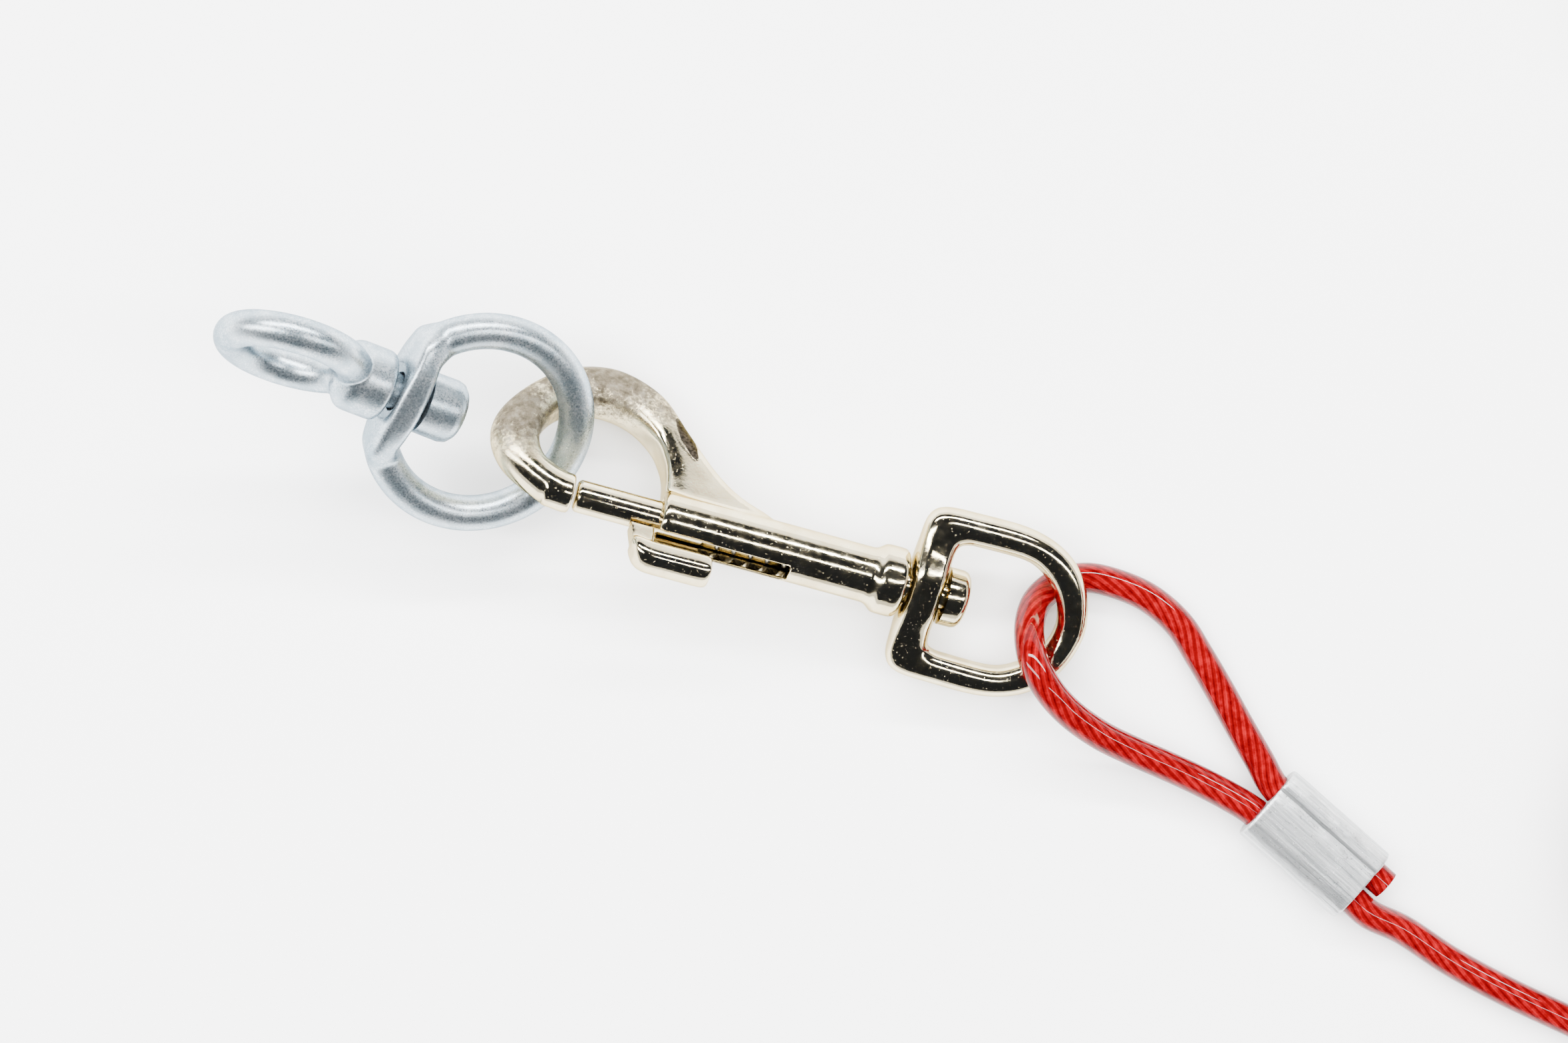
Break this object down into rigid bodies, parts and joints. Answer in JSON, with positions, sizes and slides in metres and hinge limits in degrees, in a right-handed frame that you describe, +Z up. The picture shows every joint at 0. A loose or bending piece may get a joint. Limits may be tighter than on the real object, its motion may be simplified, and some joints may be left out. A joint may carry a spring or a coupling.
{
  "type": "tie-out cable with swivel bolt snaps",
  "caption": "Coated wire-rope cable with a pressed soft eye and swivel bolt snap at each end, coiled and tied, and a ring-and-eye swivel in the near snap.",
  "frame": {"origin": "on the ground, under the middle of the near end: the swivel, the near bolt snap, the soft eye and its sleeve, without the stored rope and the far end", "axes": "+X from the swivel towards the cable, +Y across it on the ground, +Z up"},
  "size_m": [0.2513, 0.164, 0.0364],
  "materials": {
    "nickel_plate": "nickel-plated die casting, bright, worn and pitted at the hook's bow",
    "zinc_plate": "satin blue-grey zinc plating",
    "sleeve_aluminium": "pressed, with lengthwise scratches",
    "red_coat": "translucent glossy PVC over twisted strands",
    "wire_steel": "galvanised wire",
    "tie_plastic": "plain strap"
  },
  "bodies": {
    "cable": {"eye_coat": "red_coat", "eye_rope_core": "wire_steel", "pressed_sleeve": "sleeve_aluminium", "rope_run_to_coil": "red_coat", "rope_coil": "red_coat", "coil_tie_1": "tie_plastic", "coil_tie_2": "tie_plastic", "coil_tie_3": "tie_plastic", "rope_run_from_coil": "red_coat", "far_eye_coat": "red_coat", "far_eye_rope_core": "wire_steel", "far_pressed_sleeve": "sleeve_aluminium"},
    "swivel_eye": {"snap_swivel_eye": "nickel_plate"},
    "snap": {"snap_body": "nickel_plate", "snap_swivel_rivet": "nickel_plate", "snap_return_spring": "wire_steel"},
    "bolt": {"snap_bolt": "nickel_plate", "snap_thumb_piece": "nickel_plate"},
    "far_swivel_eye": {"far_snap_swivel_eye": "nickel_plate"},
    "far_snap": {"far_snap_body": "nickel_plate", "far_snap_swivel_rivet": "nickel_plate", "far_snap_return_spring": "wire_steel"},
    "far_bolt": {"far_snap_bolt": "nickel_plate", "far_snap_thumb_piece": "nickel_plate"},
    "ring": {"swivel_ring": "zinc_plate"},
    "small_eye": {"swivel_small_eye": "zinc_plate", "swivel_pin": "zinc_plate"}
  },
  "joints": [
    {"name": "eye_swing", "type": "hinge", "parent": "cable", "child": "swivel_eye", "pos_m": [0.02792, -0.00109, 0.0063], "axis": [0.3195, 0.6289, -0.7088], "range_deg": [-1, 60]},
    {"name": "snap_swivel", "type": "hinge", "parent": "swivel_eye", "child": "snap", "pos_m": [0.01123, 0.00451, 0.00886], "axis": [0.9535, -0.2608, -0.1513], "continuous": true},
    {"name": "bolt_slide", "type": "slide", "parent": "snap", "child": "bolt", "axis": [0.9535, -0.2608, -0.1513], "range_m": [0, 0.0125], "stiffness_N_per_m": 180, "deforming": ["snap_return_spring"]},
    {"name": "far_eye_swing", "type": "hinge", "parent": "cable", "child": "far_swivel_eye", "pos_m": [0.1514, 0.04019, 0.0063], "axis": [0.6086, 0.3567, -0.7088], "range_deg": [-1, 60]},
    {"name": "far_snap_swivel", "type": "hinge", "parent": "far_swivel_eye", "child": "far_snap", "pos_m": [0.14038, 0.05392, 0.00886], "axis": [0.6614, -0.7346, -0.1513], "continuous": true},
    {"name": "far_bolt_slide", "type": "slide", "parent": "far_snap", "child": "far_bolt", "axis": [0.6614, -0.7346, -0.1513], "range_m": [0, 0.0125], "stiffness_N_per_m": 180, "deforming": ["far_snap_return_spring"]},
    {"name": "ring_swing", "type": "hinge", "parent": "snap", "child": "ring", "pos_m": [-0.0316, 0.02308, 0.01078], "axis": [0.3086, 0.8813, 0.3578], "range_deg": [-12, 45]},
    {"name": "swivel_turn", "type": "hinge", "parent": "ring", "child": "small_eye", "pos_m": [-0.05439, 0.02955, 0.02075], "axis": [0.8495, -0.3261, -0.4147], "continuous": true}
  ]
}
